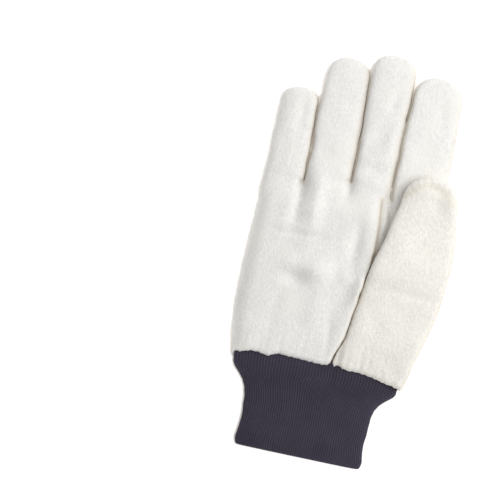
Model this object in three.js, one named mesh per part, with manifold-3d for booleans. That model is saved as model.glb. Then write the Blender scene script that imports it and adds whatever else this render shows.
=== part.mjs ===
// A cotton work glove with a rib-knit wrist, for the right hand, lying palm up.
// The canvas is cut as such gloves are: one palm panel with the fronts of the four fingers,
// four strips that make the back, and a thumb of two panels that lies over the palm.
// Units are millimetres. +Y runs to the fingertips, +X to the thumb, +Z up, out of the palm.
import * as THREE from "three";
import { mergeVertices } from "three/addons/utils/BufferGeometryUtils.js";
import Module from "manifold-3d";

const wasm = await Module();
wasm.setup();

// Driving dimensions.
const CUFF_LENGTH = 60; // hem to the seam with the canvas, at the middle of the palm
const CUFF_WIDTH = 82;
const CUFF_THICKNESS = 13;
const PALM_LENGTH = 113; // from the cuff's seam to the line of the finger crotches
const MOUTH_WIDTH = 107; // the canvas where it is sewn to the cuff
const MOUTH_THICKNESS = 17;
const WRIST_WIDTH = 118; // the canvas a little above that seam
const HAND_THICKNESS = 20;
const LITTLE_WIDTH = 26;
const LITTLE_LENGTH = 56.5; // past the line of the crotches, as the other three
const RING_WIDTH = 26;
const RING_LENGTH = 81;
const MIDDLE_WIDTH = 25.2;
const MIDDLE_LENGTH = 88.5;
const INDEX_WIDTH = 33.4;
const INDEX_LENGTH = 80;
const FINGER_THICKNESS = 14.5;
const FINGER_GAP = 2.4; // between two fingers, where they leave the hand
const THUMB_LENGTH = 129.5; // from the cuff's seam to its tip
const THUMB_WIDTH = 49;
const THUMB_THICKNESS = 14.5;
const THUMB_OFFSET = 14; // from the middle of the mouth to the thumb's left edge at the wrist
const CANVAS_WALL = 1.5;
const KNIT_WALL = 2;
const SEAM_GAP = 0.3; // between two pieces that are sewn together
const TUCK = 4; // how far the cuff goes in behind the canvas edge
const SIDE_SEAM_HEIGHT = 6.5; // where the palm panel meets the back strips
const THUMB_CLEARANCE = 0.8; // between the thumb and what it lies on
const EDGE_ROUND = 13; // how far in from its side the hand reaches its full height
const GROOVE_ROUND = 6; // how far back from its groove the palm turns down to the thumb
const CROTCH_ROUND = 6; // how far back from the crotches the hand's end rounds down
const GATHER_REACH = 12; // how far up the canvas a gather fades out
const RIB_COUNT = 60;
const RIB_DEPTH = 0.5;
const THUMB_ROUND = THUMB_WIDTH * 0.36; // how far back from its end the thumb rounds off
const TIP_ROUND = 0.5; // the same for a finger, as a share of its width there
const BLUNT = 0.2; // the width left at the end of a finger or the thumb, as a share
const WELD = 0.0005; // corners of the triangles closer than this become one

// How squarely each outline turns at its sides: 2 is an ellipse and more is fuller. Above is
// over the palm and below on the table.
const FINGER_TURN = { above: 2.3, below: 3.4, tip: 2.3 };
const HAND_TURN = { above: 2.2, below: 3.2, end: 2.4, mouth: 1.7 };
const THUMB_TURN = { wrist: 4, above: 2.3, below: 2.8, tip: 2.2 };
const CUFF_TURN = { above: 3, below: 3.2, mouth: 4 };

// The four fingers from the little one on. Tip is the width near the tip as a share of the
// width, gap the gap before it as a share of the finger gap, and lean how far its tip stands
// to the little finger's side, as a share of its width.
const FINGERS = [
  { width: LITTLE_WIDTH, length: LITTLE_LENGTH, tip: 0.91, gap: 0, lean: 0.01 },
  { width: RING_WIDTH, length: RING_LENGTH, tip: 0.98, gap: 1.08, lean: 0.087 },
  { width: MIDDLE_WIDTH, length: MIDDLE_LENGTH, tip: 1.12, gap: 0.85, lean: 0.05 },
  { width: INDEX_WIDTH, length: INDEX_LENGTH, tip: 0.93, gap: 0.38, lean: 0.02 },
];

// Soft creases across the fingers: along and long are shares of the finger's length past the
// crotch, side and wide of half its width, and deep of the finger thickness.
const FINGER_CREASES = [
  { finger: 0, along: 0.12, long: 0.1, side: -0.1, wide: 0.7, deep: 0.06 },
  { finger: 0, along: 0.6, long: 0.08, side: 0.3, wide: 0.6, deep: 0.04 },
  { finger: 1, along: 0.2, long: 0.08, side: 0.3, wide: 0.6, deep: 0.05 },
  { finger: 1, along: 0.66, long: 0.07, side: -0.3, wide: 0.6, deep: 0.04 },
  { finger: 2, along: 0.17, long: 0.06, side: 0.0, wide: 0.6, deep: 0.06 },
  { finger: 2, along: 0.43, long: 0.06, side: -0.1, wide: 0.6, deep: 0.05 },
  { finger: 2, along: 0.68, long: 0.05, side: 0.2, wide: 0.5, deep: 0.04 },
  { finger: 3, along: 0.35, long: 0.08, side: 0.2, wide: 0.6, deep: 0.04 },
];

// The seam with the cuff isn't straight, and it lies lower on the back than on the palm. Across
// is a share of half the mouth's width from its middle, palm and back shares of the cuff's length.
const MOUTH_LINE = [
  { across: -1.06, palm: -0.1, back: -0.12 },
  { across: -0.94, palm: -0.05, back: -0.12 },
  { across: -0.78, palm: 0.0, back: -0.11 },
  { across: -0.6, palm: -0.025, back: -0.08 },
  { across: -0.52, palm: 0.017, back: -0.07 },
  { across: -0.3, palm: 0.012, back: -0.1 },
  { across: 0.0, palm: 0.008, back: -0.14 },
  { across: 0.16, palm: 0.025, back: -0.14 },
  { across: 0.245, palm: 0.042, back: -0.14 },
  { across: 0.28, palm: 0.008, back: -0.14 },
  { across: 0.6, palm: -0.017, back: -0.125 },
  { across: 0.8, palm: -0.058, back: -0.11 },
  { across: 1.06, palm: -0.11, back: -0.13 },
];

// The cuff from its hem up: up is a share of its length, little and thumb how far each side
// stands from the mouth's middle as shares of half its width, low and high of its thickness.
const CUFF_SECTIONS = [
  { up: 0.0, little: 1.0, thumb: 0.945, low: 0.05, high: 0.9 },
  { up: 0.035, little: 1.03, thumb: 0.975, low: 0.0, high: 1.0 },
  { up: 0.6, little: 1.02, thumb: 0.99, low: 0.0, high: 0.9 },
  { up: 0.68, little: 1.07, thumb: 1.035, low: 0.02, high: 0.97 },
  { up: 0.75, little: 1.17, thumb: 1.13, low: 0.06, high: 1.07 },
  { up: 0.81, little: 1.24, thumb: 1.22, low: 0.12, high: 1.13 },
];

// The groove between the palm and the thumb, and the thumb beside it. Up is a share of the
// palm's length. Groove and left are shares of the thumb's width past its offset, and wide is
// its own width there. Low is a share of the hand's thickness and thick of the thumb's.
const THUMB_PATH = [
  { up: -0.16, groove: -0.15, left: 0.0, wide: 0.81, low: 0.3, thick: 0.74 },
  { up: 0.0, groove: -0.13, left: 0.0, wide: 0.816, low: 0.3, thick: 0.77 },
  { up: 0.05, groove: -0.1, left: 0.0, wide: 0.847, low: 0.32, thick: 0.86 },
  { up: 0.14, groove: -0.045, left: 0.0, wide: 0.914, low: 0.34, thick: 0.97 },
  { up: 0.31, groove: 0.0, left: 0.03, wide: 1.0, low: 0.38, thick: 0.98 },
  { up: 0.48, groove: 0.05, left: 0.09, wide: 1.01, low: 0.45, thick: 0.94 },
  { up: 0.62, groove: 0.085, left: 0.153, wide: 0.97, low: 0.55, thick: 0.97 },
  { up: 0.75, groove: 0.102, left: 0.214, wide: 0.914, low: 0.6, thick: 0.96 },
  { up: 0.87, groove: 0.13, left: 0.25, wide: 0.857, low: 0.6, thick: 0.95 },
  { up: 0.97, groove: 0.185, left: 0.285, wide: 0.79, low: 0.6, thick: 0.94 },
];

// Soft dents and swells of the palm: across and wide as shares of half the hand's width, up and
// long as shares of the palm's length, and deep as a share of the hand's thickness.
const PALM_FOLDS = [
  { across: -0.48, up: 0.86, wide: 0.07, long: 0.17, deep: 0.15 },
  { across: -0.28, up: 0.84, wide: 0.06, long: 0.15, deep: -0.05 },
  { across: -0.05, up: 0.86, wide: 0.09, long: 0.1, deep: -0.04 },
  { across: 0.23, up: 0.7, wide: 0.05, long: 0.14, deep: 0.07 },
  { across: -0.32, up: 0.47, wide: 0.28, long: 0.05, deep: 0.08 },
  { across: 0.09, up: 0.5, wide: 0.16, long: 0.05, deep: -0.05 },
  { across: -0.17, up: 0.27, wide: 0.2, long: 0.06, deep: 0.05 },
  { across: -0.82, up: 0.55, wide: 0.14, long: 0.3, deep: 0.06 },
];

// Gathers where the canvas is eased onto the cuff: across and wide as shares of half the
// mouth's width, and high as a share of the mouth's thickness.
const GATHERS = [
  { across: -0.76, wide: 0.06, high: 0.08 },
  { across: -0.5, wide: 0.06, high: 0.1 },
  { across: -0.3, wide: 0.05, high: 0.07 },
  { across: -0.12, wide: 0.05, high: 0.09 },
  { across: 0.08, wide: 0.05, high: 0.07 },
  { across: 0.45, wide: 0.07, high: 0.06 },
  { across: 0.68, wide: 0.07, high: 0.05 },
];

// The three seams of the back. Up is a share of the palm's length from the cuff's seam, and
// each column how far its seam lies to the thumb's side of its crotch, as a share of half
// the hand's width.
const BACK_SEAMS = [
  { up: -0.2, littleRing: 0.06, ringMiddle: 0.2, middleIndex: 0.28 },
  { up: 0.0, littleRing: 0.05, ringMiddle: 0.18, middleIndex: 0.27 },
  { up: 0.25, littleRing: 0.01, ringMiddle: 0.16, middleIndex: 0.27 },
  { up: 0.5, littleRing: -0.02, ringMiddle: 0.13, middleIndex: 0.24 },
  { up: 0.75, littleRing: -0.02, ringMiddle: 0.07, middleIndex: 0.15 },
  { up: 0.9, littleRing: -0.005, ringMiddle: 0.02, middleIndex: 0.05 },
  { up: 1.0, littleRing: 0, ringMiddle: 0, middleIndex: 0 },
];

const CANVAS_COLOR = new THREE.Color(0.86, 0.86, 0.85);
const THUMB_COLOR = new THREE.Color(0.88, 0.87, 0.82);
const KNIT_COLOR = new THREE.Color(0.045, 0.038, 0.075);

const clamp01 = (t) => Math.min(1, Math.max(0, t));
const mix = (a, b, t) => a + (b - a) * t;
const smooth = (t) => clamp01(t) ** 2 * (3 - 2 * clamp01(t));
const swell = (distance, width) => Math.exp(-((distance / width) ** 2));
const arc = (t, power) => (1 - clamp01(t) ** power) ** (1 / power);

// Reads a column of a table at a place between its rows, along a smooth curve.
function lookUp(table, key, column, place) {
  const last = table.length - 1;
  const at = Math.min(Math.max(place, table[0][key]), table[last][key]);
  let i = 0;
  while (i < last - 1 && table[i + 1][key] < at) i += 1;
  const slope = (j) => {
    const before = table[Math.max(0, j - 1)];
    const after = table[Math.min(last, j + 1)];
    return (after[column] - before[column]) / (after[key] - before[key]);
  };
  const [from, to] = [table[i], table[i + 1]];
  const span = to[key] - from[key];
  const t = (at - from[key]) / span;
  const ahead = from[column] + slope(i) * span * t;
  const behind = to[column] - slope(i + 1) * span * (1 - t);
  return mix(ahead, behind, smooth(t));
}

// Places that follow from the driving dimensions.
const MOUTH_Y = CUFF_LENGTH;
const CROTCH_Y = CUFF_LENGTH + PALM_LENGTH;
const roots = [];
for (const finger of FINGERS) {
  const left = roots.length ? roots.at(-1).right + finger.gap * FINGER_GAP : 0;
  roots.push({ left, right: left + finger.width });
}
const HAND_HALF_WIDTH = roots.at(-1).right / 2;
for (const root of roots) {
  root.left -= HAND_HALF_WIDTH;
  root.right -= HAND_HALF_WIDTH;
}
const MOUTH_MIDDLE = WRIST_WIDTH / 2 - HAND_HALF_WIDTH;
const THUMB_LEFT = MOUTH_MIDDLE + THUMB_OFFSET;

// Where a finger starts to round off to its tip.
function tipStart(index) {
  const finger = FINGERS[index];
  return CROTCH_Y + finger.length - finger.width * finger.tip * TIP_ROUND;
}

// A finger's left and right side, underside and top at one place along it. Inset leads to
// the hollow inside the cloth.
function fingerSection(index, y, inset) {
  const finger = FINGERS[index];
  const along = (y - CROTCH_Y) / finger.length;
  const middle = (roots[index].left + roots[index].right) / 2;
  const width = finger.width * mix(1, finger.tip, smooth(along));
  const end = CROTCH_Y + finger.length - inset;
  const round = arc((y - tipStart(index)) / (end - tipStart(index)), FINGER_TURN.tip);
  const half = (width / 2 - inset) * Math.max(BLUNT, round);
  const centre = middle - finger.lean * finger.width * smooth(along);
  const full = mix(0.4, 1, round);
  const top = FINGER_THICKNESS * mix(1.04, 0.94, clamp01(along)) - inset;
  return {
    left: centre - half,
    right: centre + half,
    low: mix(SIDE_SEAM_HEIGHT, inset, full),
    high: mix(SIDE_SEAM_HEIGHT, top, full),
  };
}

function creaseDepth(index, side, y) {
  let deep = 0;
  for (const crease of FINGER_CREASES) {
    if (crease.finger !== index) continue;
    const along = (y - CROTCH_Y) / FINGERS[index].length;
    deep += crease.deep * swell(side - crease.side, crease.wide) * swell(along - crease.along, crease.long);
  }
  return FINGER_THICKNESS * deep;
}

// How high the web of cloth between two fingers stands.
const dipHeight = (inset) => SIDE_SEAM_HEIGHT + CANVAS_WALL + 2 * SEAM_GAP - inset;

// How high the tops of the fingers stand at a place, with the dips between them.
function fingersHeight(x, y, inset) {
  const dip = dipHeight(inset);
  const heights = FINGERS.map((_, index) => {
    const section = fingerSection(index, y, inset);
    const middle = (section.left + section.right) / 2;
    return mix(dip, section.high, arc(Math.abs(x - middle) / (section.right - middle), FINGER_TURN.above));
  });
  return Math.max(...heights);
}

// How high the palm stands at a place, before it rounds down at its sides.
function palmHeight(x, up, groove, inset) {
  const across = x / HAND_HALF_WIDTH;
  const toMouth = 1 - clamp01(up / 0.14);
  const arch = 1 - 0.1 * Math.abs(up - 0.5) - 0.08 * across * across;
  let high = mix(HAND_THICKNESS * arch, MOUTH_THICKNESS, toMouth ** 2);
  for (const fold of PALM_FOLDS) {
    const share = swell(across - fold.across, fold.wide) * swell(up - fold.up, fold.long);
    high -= HAND_THICKNESS * fold.deep * share;
  }
  // Past the groove the cloth lies lower, under the thumb.
  const shelf = mix(HAND_THICKNESS * 0.6, FINGER_THICKNESS, smooth((up - 0.7) / 0.25));
  const turned = clamp01((x - groove + GROOVE_ROUND) / GROOVE_ROUND);
  const sunk = smooth((up + 0.12) / 0.2) * (1 - arc(turned, 2));
  high = mix(high, Math.min(high, shelf), sunk);
  const y = Math.max(MOUTH_Y + up * PALM_LENGTH, CROTCH_Y - CROTCH_ROUND);
  const fingers = fingersHeight(x, y, inset) + inset - SEAM_GAP;
  return mix(high, Math.min(high, fingers), smooth((up - 0.72) / 0.2)) - inset;
}

function gatherHeight(x, y) {
  const across = (x - MOUTH_MIDDLE) / (MOUTH_WIDTH / 2);
  const fade = 1 - smooth((y - MOUTH_Y) / GATHER_REACH);
  let high = 0;
  for (const gather of GATHERS) high += gather.high * swell(across - gather.across, gather.wide);
  return MOUTH_THICKNESS * high * fade;
}

// The hand's two sides, which draw in to the mouth.
function handSides(up) {
  const flare = arc(1 - clamp01((up + 0.06) / 0.36), HAND_TURN.mouth);
  const bulge = WRIST_WIDTH * 0.02 * Math.sin(Math.PI * clamp01(up));
  const left = mix(MOUTH_MIDDLE - MOUTH_WIDTH / 2, -HAND_HALF_WIDTH - bulge / 2, flare);
  const wrist = MOUTH_MIDDLE + WRIST_WIDTH / 2;
  const right = mix(wrist, HAND_HALF_WIDTH, smooth(up)) + bulge;
  return { left, right: mix(MOUTH_MIDDLE + MOUTH_WIDTH / 2, right, flare) };
}

// Where the thumb and its groove are, at a place up the palm.
function thumbPlace(up) {
  const share = (column) => lookUp(THUMB_PATH, "up", column, up);
  return {
    groove: THUMB_LEFT + share("groove") * THUMB_WIDTH,
    left: THUMB_LEFT + share("left") * THUMB_WIDTH,
    wide: share("wide") * THUMB_WIDTH,
    low: share("low") * HAND_THICKNESS,
    thick: share("thick") * THUMB_THICKNESS,
  };
}

// A ring across the hand, from the little finger's side over the palm and back below.
function handRing(up, inset) {
  const y = MOUTH_Y + up * PALM_LENGTH;
  const sides = handSides(up);
  const left = sides.left + inset;
  const right = sides.right - inset;
  const groove = thumbPlace(up).groove - inset;
  const turn = groove - GROOVE_ROUND;
  const columns = [0, 0.04, 0.16, 0.38, 0.68].map((share) => left + share * EDGE_ROUND);
  for (let i = 0; i < 9; i += 1) columns.push(mix(left + EDGE_ROUND, turn, i / 9));
  for (const share of [0, 0.5, 0.8, 0.97, 1.2]) columns.push(turn + share * GROOVE_ROUND);
  const shelf = turn + 1.5 * GROOVE_ROUND;
  for (let i = 1; i <= 3; i += 1) columns.push(mix(shelf, right - EDGE_ROUND, i / 3));
  for (const share of [0.62, 0.3, 0.1, 0.02, 0]) columns.push(right - share * EDGE_ROUND);
  const fromEnd = CROTCH_Y - inset - y;
  const closing = arc(1 - fromEnd / (CROTCH_ROUND - inset), HAND_TURN.end);
  const webTop = dipHeight(inset);
  const ring = columns.map((x) => {
    const edge = Math.min(x - left, right - x) / EDGE_ROUND;
    const top = palmHeight(x, up, groove, inset) + gatherHeight(x, y);
    const z = mix(SIDE_SEAM_HEIGHT, mix(webTop, top, closing), arc(1 - edge, HAND_TURN.above));
    return new THREE.Vector3(x, y, z);
  });
  const under = [0.05, 0.2, 0.5].map((share) => right - share * EDGE_ROUND);
  for (let i = 0; i <= 3; i += 1) under.push(mix(right - EDGE_ROUND, left + EDGE_ROUND, i / 3));
  for (const share of [0.5, 0.2, 0.05]) under.push(left + share * EDGE_ROUND);
  for (const x of under) {
    const edge = Math.min(x - left, right - x) / EDGE_ROUND;
    const z = mix(SIDE_SEAM_HEIGHT, inset, arc(1 - edge, HAND_TURN.below) * mix(0.3, 1, closing));
    ring.push(new THREE.Vector3(x, y, z));
  }
  return ring;
}

// A ring across a finger, the thumb or the cuff: a rounded box with its own fullness above
// and below its widest line.
function ovalRing({ y, left, right, low, high, widest, around, above, below, dent }) {
  const ring = [];
  const middle = (left + right) / 2;
  for (let i = 0; i < around; i += 1) {
    const turn = Math.PI - (2 * Math.PI * i) / around;
    const isAbove = i <= around / 2;
    const power = isAbove ? above : below;
    const side = Math.sign(Math.cos(turn)) * Math.abs(Math.cos(turn)) ** (2 / power);
    const up = Math.abs(Math.sin(turn)) ** (2 / power);
    const x = middle + ((right - left) / 2) * side;
    const top = high - (dent ? dent(side, x) : 0);
    ring.push(new THREE.Vector3(x, y, mix(widest, isAbove ? top : low, up)));
  }
  return ring;
}

// Joins rings of points into one closed skin, with a fan at each end.
function loft(rings) {
  const around = rings[0].length;
  const positions = rings.flat().flatMap((p) => [p.x, p.y, p.z]);
  const faces = [];
  for (let r = 0; r < rings.length - 1; r += 1) {
    for (let i = 0; i < around; i += 1) {
      const a = r * around + i;
      const b = r * around + ((i + 1) % around);
      faces.push(a, b, a + around, b, b + around, a + around);
    }
  }
  for (const r of [0, rings.length - 1]) {
    const middle = new THREE.Vector3();
    for (const p of rings[r]) middle.addScaledVector(p, 1 / around);
    const centre = positions.length / 3;
    positions.push(middle.x, middle.y, middle.z);
    for (let i = 0; i < around; i += 1) {
      const a = r * around + i;
      const b = r * around + ((i + 1) % around);
      faces.push(centre, r ? a : b, r ? b : a);
    }
  }
  const geometry = new THREE.BufferGeometry();
  geometry.setAttribute("position", new THREE.Float32BufferAttribute(positions, 3));
  geometry.setIndex(faces);
  return toSolid(geometry);
}

function toSolid(geometry) {
  const bare = geometry.clone();
  bare.deleteAttribute("normal");
  bare.deleteAttribute("uv");
  const merged = mergeVertices(bare);
  const vertProperties = merged.attributes.position.array;
  const triVerts = new Uint32Array(merged.index.array);
  return new wasm.Manifold(new wasm.Mesh({ numProp: 3, vertProperties, triVerts }));
}

// Corners closer than the weld distance become one, and triangles that lose a side go.
function toGeometry(solid) {
  const mesh = solid.getMesh();
  const geometry = new THREE.BufferGeometry();
  geometry.setAttribute("position", new THREE.BufferAttribute(mesh.vertProperties, 3));
  geometry.setIndex(new THREE.BufferAttribute(mesh.triVerts, 1));
  const welded = mergeVertices(geometry, WELD);
  const corners = welded.index.array;
  const kept = [];
  for (let i = 0; i < corners.length; i += 3) {
    const triangle = corners.slice(i, i + 3);
    if (new Set(triangle).size === 3) kept.push(...triangle);
  }
  welded.setIndex(kept);
  const faceted = welded.toNonIndexed();
  faceted.computeVertexNormals();
  return faceted;
}

const union = (solids) => solids.reduce((all, one) => all.add(one));

// The hand is drawn by rings at these shares of the palm's length, and closer at its end.
const HAND_STATIONS = [-0.16, -0.08, -0.01, 0.05, 0.11, 0.19, 0.28, 0.38, 0.47, 0.57, 0.67, 0.77, 0.85, 0.92];

function handSkin(inset) {
  const ups = [...HAND_STATIONS];
  for (const share of [1, 0.5, 0.2, 0]) {
    ups.push(1 - (inset + share * (CROTCH_ROUND - inset)) / PALM_LENGTH);
  }
  return loft(ups.map((up) => handRing(up, inset)));
}

// A finger is sunk a little into the hand where it starts.
function fingerSkin(index, inset) {
  const start = CROTCH_Y - CROTCH_ROUND * 2;
  const end = CROTCH_Y + FINGERS[index].length - inset;
  const stations = [0, 0.1, 0.26, 0.42, 0.58, 0.74, 0.88, 1].map((t) => mix(start, tipStart(index), t));
  for (const t of [0.4, 0.7, 0.9, 1]) stations.push(mix(tipStart(index), end, t));
  const rings = stations.map((y) => {
    const sunk = smooth((CROTCH_Y - CROTCH_ROUND - y) / CROTCH_ROUND);
    const section = fingerSection(index, y, inset);
    return ovalRing({
      y,
      left: section.left + sunk * CANVAS_WALL,
      right: section.right - sunk * CANVAS_WALL,
      low: section.low + sunk * CANVAS_WALL,
      high: section.high - sunk * CANVAS_WALL * 2,
      widest: SIDE_SEAM_HEIGHT,
      around: 12,
      above: FINGER_TURN.above,
      below: FINGER_TURN.below,
      dent: (side) => creaseDepth(index, side, y),
    });
  });
  return loft(rings);
}

// The thumb grows out of the hand at the wrist and lies on the palm and the index finger.
function thumbRing(y, inset, shrink) {
  const up = (y - MOUTH_Y) / PALM_LENGTH;
  const place = thumbPlace(up);
  const middle = place.left + place.wide / 2;
  const half = (place.wide / 2 - inset) * shrink;
  const onFingers = smooth((up - 0.7) / 0.25);
  let rest = 0;
  for (const side of [-0.8, -0.4, 0, 0.4, 0.8]) {
    const x = middle + (side * place.wide) / 2;
    rest = Math.max(rest, fingersHeight(x, Math.max(y, CROTCH_Y), 0) * onFingers);
    if (up < 1) rest = Math.max(rest, palmHeight(x, up, place.groove, 0));
  }
  const low = mix(place.low, rest + THUMB_CLEARANCE, smooth((up - 0.5) / 0.18));
  const widest = low + place.thick * 0.42;
  return ovalRing({
    y,
    left: middle - half,
    right: middle + half,
    low: mix(widest, low + inset, mix(0.3, 1, shrink)),
    high: mix(widest, low + place.thick - inset, mix(0.3, 1, shrink)),
    widest,
    around: 16,
    above: mix(THUMB_TURN.wrist, THUMB_TURN.above, smooth(up / 0.25)),
    below: THUMB_TURN.below,
    dent: (_, x) => -gatherHeight(x, y),
  });
}

function thumbSkin(inset) {
  const start = MOUTH_Y - PALM_LENGTH * 0.15;
  const end = MOUTH_Y + THUMB_LENGTH - inset;
  const roundFrom = MOUTH_Y + THUMB_LENGTH - THUMB_ROUND;
  const rings = [0, 0.08, 0.15, 0.22, 0.31, 0.41, 0.51, 0.61, 0.71, 0.81, 0.91, 1].map((t) =>
    thumbRing(mix(start, roundFrom, t), inset, 1),
  );
  for (const t of [0.35, 0.65, 0.88, 1]) {
    rings.push(thumbRing(mix(roundFrom, end, t), inset, Math.max(BLUNT, arc(t, THUMB_TURN.tip))));
  }
  return loft(rings);
}

// A prism that stands upright, with its outline in the table's plane.
function prism(outline, from, to, reshape) {
  const shape = new THREE.Shape(outline.map(([x, y]) => new THREE.Vector2(x, y)));
  const geometry = new THREE.ExtrudeGeometry(shape, { depth: to - from, bevelEnabled: false });
  geometry.translate(0, 0, from);
  const { position } = geometry.attributes;
  if (reshape) {
    for (let i = 0; i < position.count; i += 1) {
      position.setY(i, reshape(position.getX(i), position.getY(i), position.getZ(i)));
    }
  }
  return toSolid(geometry);
}

// Room around the whole glove for the shapes that cut it.
const AROUND = 2 * WRIST_WIDTH;
const OVER = 3 * (HAND_THICKNESS + THUMB_THICKNESS);

// What lies on the cuff's side of the seam between canvas and knit.
function belowMouth(gap) {
  const steps = 40;
  const line = [];
  for (let i = steps; i >= 0; i -= 1) {
    line.push([MOUTH_MIDDLE + (mix(-1.1, 1.1, i / steps) * MOUTH_WIDTH) / 2, MOUTH_Y]);
  }
  const outline = [[-AROUND, -AROUND], [AROUND, -AROUND], [AROUND, MOUTH_Y], ...line, [-AROUND, MOUTH_Y]];
  return prism(outline, -CANVAS_WALL, MOUTH_THICKNESS * 1.6, (x, y, z) => {
    if (y < 0) return y;
    const across = (x - MOUTH_MIDDLE) / (MOUTH_WIDTH / 2);
    const palm = lookUp(MOUTH_LINE, "across", "palm", across);
    const back = lookUp(MOUTH_LINE, "across", "back", across);
    return MOUTH_Y - gap + mix(back, palm, z / MOUTH_THICKNESS) * CUFF_LENGTH;
  });
}

// The middle of the gap between two fingers, and below it the seam between two back strips.
function seamX(index, y) {
  const column = ["littleRing", "ringMiddle", "middleIndex"][index];
  const along = Math.min(Math.max(y, CROTCH_Y), tipStart(index), tipStart(index + 1));
  const before = fingerSection(index, along, 0).right;
  const after = fingerSection(index + 1, along, 0).left;
  const drift = lookUp(BACK_SEAMS, "up", column, (y - MOUTH_Y) / PALM_LENGTH);
  return (before + after) / 2 + drift * HAND_HALF_WIDTH;
}

// The stretch of the back between two of its seams, numbered as the fingers.
function stripRoom(index) {
  const ups = [-0.3, 0, 0.12, 0.25, 0.38, 0.5, 0.62, 0.75, 0.83, 0.9, 0.95, 1, 1.15, 1.3, 1.45, 1.6, 2];
  const ys = ups.map((up) => MOUTH_Y + up * PALM_LENGTH);
  const line = (seam, shift) => {
    if (seam < 0) return [[-AROUND, ys[0]], [-AROUND, ys.at(-1)]];
    if (seam > 2) return [[AROUND, ys[0]], [AROUND, ys.at(-1)]];
    return ys.map((y) => [seamX(seam, y) + shift, y]);
  };
  const rightSide = line(index, -SEAM_GAP / 2);
  const leftSide = line(index - 1, SEAM_GAP / 2);
  return prism([...rightSide, ...leftSide.reverse()], -OVER, OVER);
}

function slab(left, start, right, end, from, to) {
  return prism([[left, start], [right, start], [right, end], [left, end]], from, to);
}

// What lies above the thumb's own seam, which follows its widest line round the tip.
function aboveThumbSeam(shift) {
  const steps = 16;
  const profile = [];
  for (let i = 0; i <= steps; i += 1) {
    const y = mix(MOUTH_Y - PALM_LENGTH * 0.2, MOUTH_Y + THUMB_LENGTH * 1.1, i / steps);
    const ring = thumbRing(Math.min(y, MOUTH_Y + THUMB_LENGTH), 0, 1);
    profile.push([y, ring[0].z + shift]);
  }
  const outline = [...profile, [profile.at(-1)[0], OVER], [profile[0][0], OVER]];
  const shape = new THREE.Shape(outline.map(([y, z]) => new THREE.Vector2(y, z)));
  const geometry = new THREE.ExtrudeGeometry(shape, { depth: 2 * AROUND, bevelEnabled: false });
  const turn = new THREE.Matrix4().set(0, 0, 1, -AROUND, 1, 0, 0, 0, 0, 1, 0, 0, 0, 0, 0, 1);
  return toSolid(geometry.applyMatrix4(turn));
}

// The ribbed outside of the cuff, or the plain skin inside it, which reaches past both ends.
function cuffSkin(inset, around, rib, reach) {
  const place = (y, left, right, low, high, above) => {
    const widest = mix(low, high, 0.42);
    const ring = ovalRing({
      y,
      left: left + inset,
      right: right - inset,
      low: low + inset,
      high: high - inset,
      widest,
      around,
      above,
      below: CUFF_TURN.below,
    });
    const middle = new THREE.Vector3((left + right) / 2, y, widest);
    const groove = (p) => p.addScaledVector(p.clone().sub(middle).normalize(), -rib);
    if (rib) ring.forEach((p, i) => i % 2 && groove(p));
    return ring;
  };
  const half = CUFF_WIDTH / 2;
  const rings = CUFF_SECTIONS.map(({ up, little, thumb, low, high }) =>
    place(
      up ? up * CUFF_LENGTH : -reach,
      MOUTH_MIDDLE - little * half,
      MOUTH_MIDDLE + thumb * half,
      low * CUFF_THICKNESS,
      high * CUFF_THICKNESS,
      CUFF_TURN.above,
    ),
  );
  const behind = CANVAS_WALL + SEAM_GAP;
  const mouth = MOUTH_WIDTH / 2 - behind;
  for (const y of [MOUTH_Y - 2 * TUCK, MOUTH_Y + TUCK + reach]) {
    const top = MOUTH_THICKNESS - behind;
    rings.push(place(y, MOUTH_MIDDLE - mouth, MOUTH_MIDDLE + mouth, behind, top, CUFF_TURN.mouth));
  }
  return loft(rings);
}

const fingerSkins = (inset) => FINGERS.map((_, index) => fingerSkin(index, inset));
const hollow = union([handSkin(CANVAS_WALL), thumbSkin(CANVAS_WALL), ...fingerSkins(CANVAS_WALL)]);
const below = belowMouth(0);
const handCloth = union([handSkin(0), ...fingerSkins(0)]).subtract(hollow).subtract(below);
const thumbRoom = thumbSkin(-SEAM_GAP);

// The side seam runs level round the hand, between the palm panel and the back strips.
const seamTop = SIDE_SEAM_HEIGHT + SEAM_GAP / 2;
const seamBottom = SIDE_SEAM_HEIGHT - SEAM_GAP / 2;
const backCloth = handCloth
  .subtract(slab(-AROUND, -AROUND, AROUND, 2 * AROUND, seamBottom, OVER))
  .subtract(thumbRoom);

// At the wrist the palm panel ends where the thumb begins, and the thumb's panels reach down to
// the side seam.
const thumbWeb = MOUTH_Y + PALM_LENGTH * 0.36;
const thumbFoot = slab(THUMB_LEFT + 2 * SEAM_GAP, -AROUND, AROUND, thumbWeb - SEAM_GAP, seamTop, OVER);
const palmPanel = handCloth
  .subtract(slab(-AROUND, -AROUND, AROUND, 2 * AROUND, -OVER, seamTop))
  .subtract(slab(THUMB_LEFT + SEAM_GAP, -AROUND, AROUND, thumbWeb, -OVER, OVER))
  .subtract(thumbRoom);
const thumbCloth = thumbSkin(0).subtract(hollow).subtract(below).add(handCloth.intersect(thumbFoot));

const behindCanvas = union([handSkin(CANVAS_WALL + SEAM_GAP), thumbSkin(CANVAS_WALL + SEAM_GAP)]);
const cuff = cuffSkin(0, 2 * RIB_COUNT, RIB_DEPTH, 0)
  .subtract(cuffSkin(KNIT_WALL, 36, 0, TUCK))
  .intersect(behindCanvas.add(belowMouth(SEAM_GAP)));

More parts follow.
